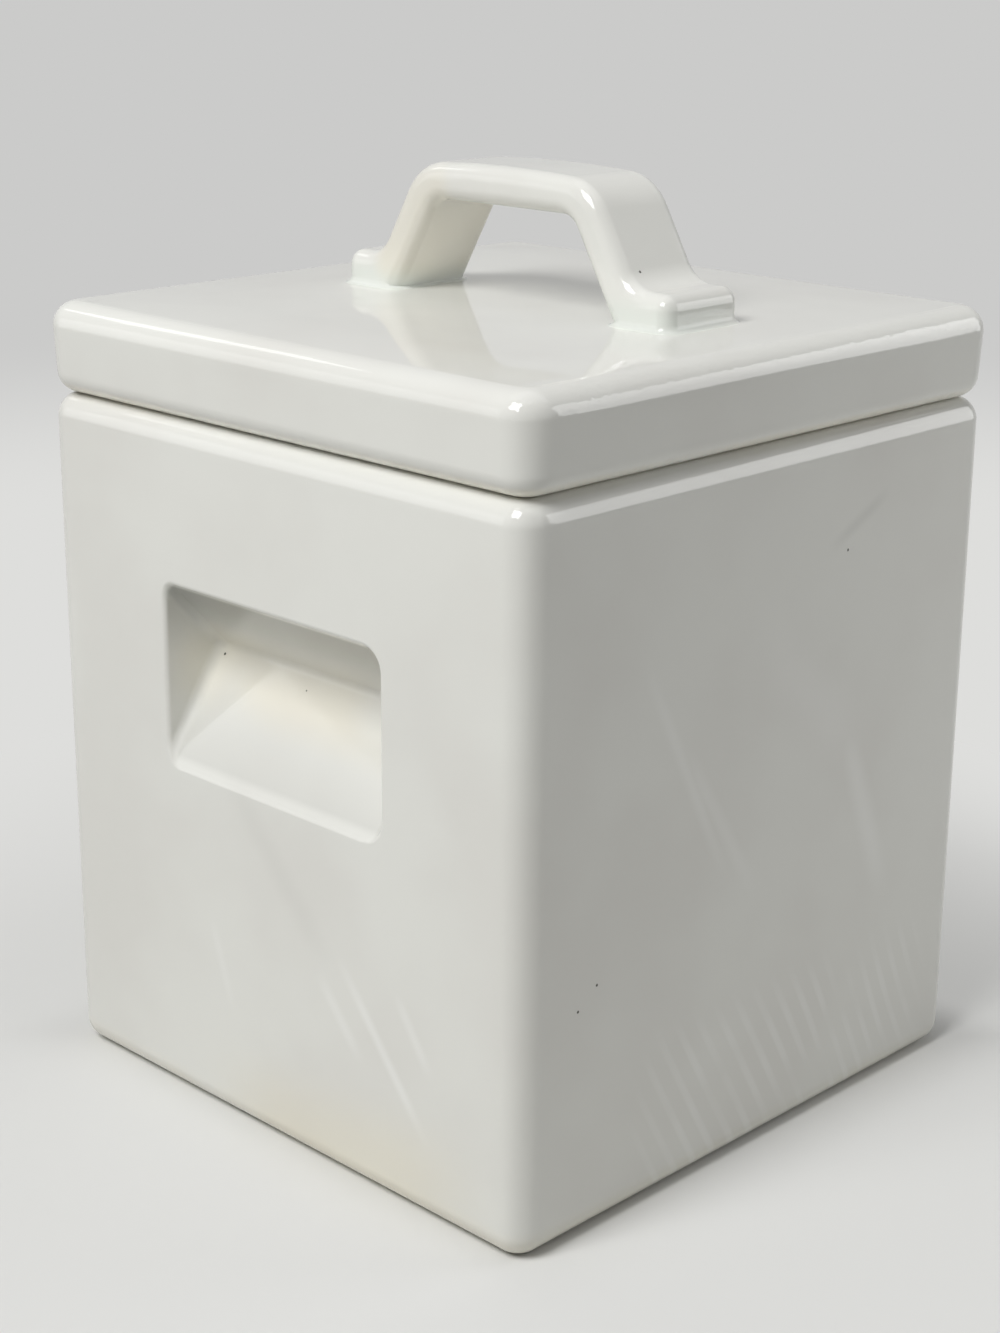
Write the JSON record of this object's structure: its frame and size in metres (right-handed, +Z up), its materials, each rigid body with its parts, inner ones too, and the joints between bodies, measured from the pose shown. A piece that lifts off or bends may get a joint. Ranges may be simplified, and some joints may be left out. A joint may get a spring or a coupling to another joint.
{
  "type": "storage canister",
  "caption": "Square white porcelain kitchen canister with a finger niche in its front wall and a lift-off lid with a strap handle.",
  "frame": {"origin": "centre of the base, on the plane of the foot ring", "axes": "+Z up along the canister's height, -Y out of the front face with the niche, X along the lid's handle"},
  "size_m": [0.151, 0.151, 0.2105],
  "materials": {
    "body_glaze": "glossy warm white glaze over porcelain",
    "lid_glaze": "glossy warm white glaze over porcelain",
    "handle_glaze": "glossy warm white glaze over porcelain"
  },
  "bodies": {
    "canister": {"canister_body": "body_glaze"},
    "lid": {"lid": "lid_glaze", "lid_handle": "handle_glaze"}
  },
  "joints": [
    {"name": "lid_lift", "type": "slide", "parent": "canister", "child": "lid", "axis": [0, 0, 1], "range_m": [0, 0.05]}
  ]
}
